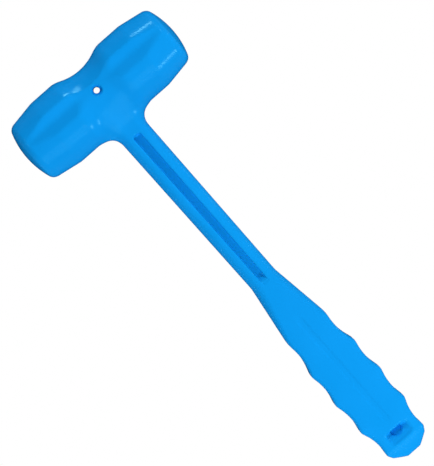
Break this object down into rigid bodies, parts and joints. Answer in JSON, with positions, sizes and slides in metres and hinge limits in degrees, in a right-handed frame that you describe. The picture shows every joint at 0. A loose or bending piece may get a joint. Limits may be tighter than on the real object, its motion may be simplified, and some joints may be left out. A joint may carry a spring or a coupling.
{
  "type": "dead blow mallet",
  "caption": "One-piece cast dead blow mallet with a waisted double-ended head, a finger-grooved handle and sealed sliding shot charges.",
  "frame": {"origin": "under the middle of the outline, on the plane that the two ends of the head rest on when the mallet lies flat", "axes": "+X along the head to the right striking face, +Y along the handle from the butt to the top of the head, +Z out of the front"},
  "size_m": [0.113, 0.3, 0.045],
  "materials": {
    "casing_plastic": "glossy cast polyurethane, faintly mottled",
    "hub_steel": "turned mild steel",
    "rod_steel": "bright drawn bar",
    "canister_steel": "drawn tube",
    "lid_steel": "punched disc",
    "shot_steel": "tumbled balls"
  },
  "bodies": {
    "mallet": {"casing": "casing_plastic", "eye_hub": "hub_steel", "core_rod": "rod_steel", "rod_collar": "hub_steel", "canister_tube_left": "canister_steel", "canister_tube_right": "canister_steel", "inner_lid_left": "lid_steel", "inner_lid_right": "lid_steel", "outer_lid_left": "lid_steel", "outer_lid_right": "lid_steel"},
    "left_shot": {"shot_charge_left": "shot_steel"},
    "right_shot": {"shot_charge_right": "shot_steel"}
  },
  "joints": [
    {"name": "left_shot_slide", "type": "slide", "parent": "mallet", "child": "left_shot", "axis": [-1, 0, 0], "range_m": [0, 0.008]},
    {"name": "right_shot_slide", "type": "slide", "parent": "mallet", "child": "right_shot", "axis": [1, 0, 0], "range_m": [0, 0.008]}
  ]
}
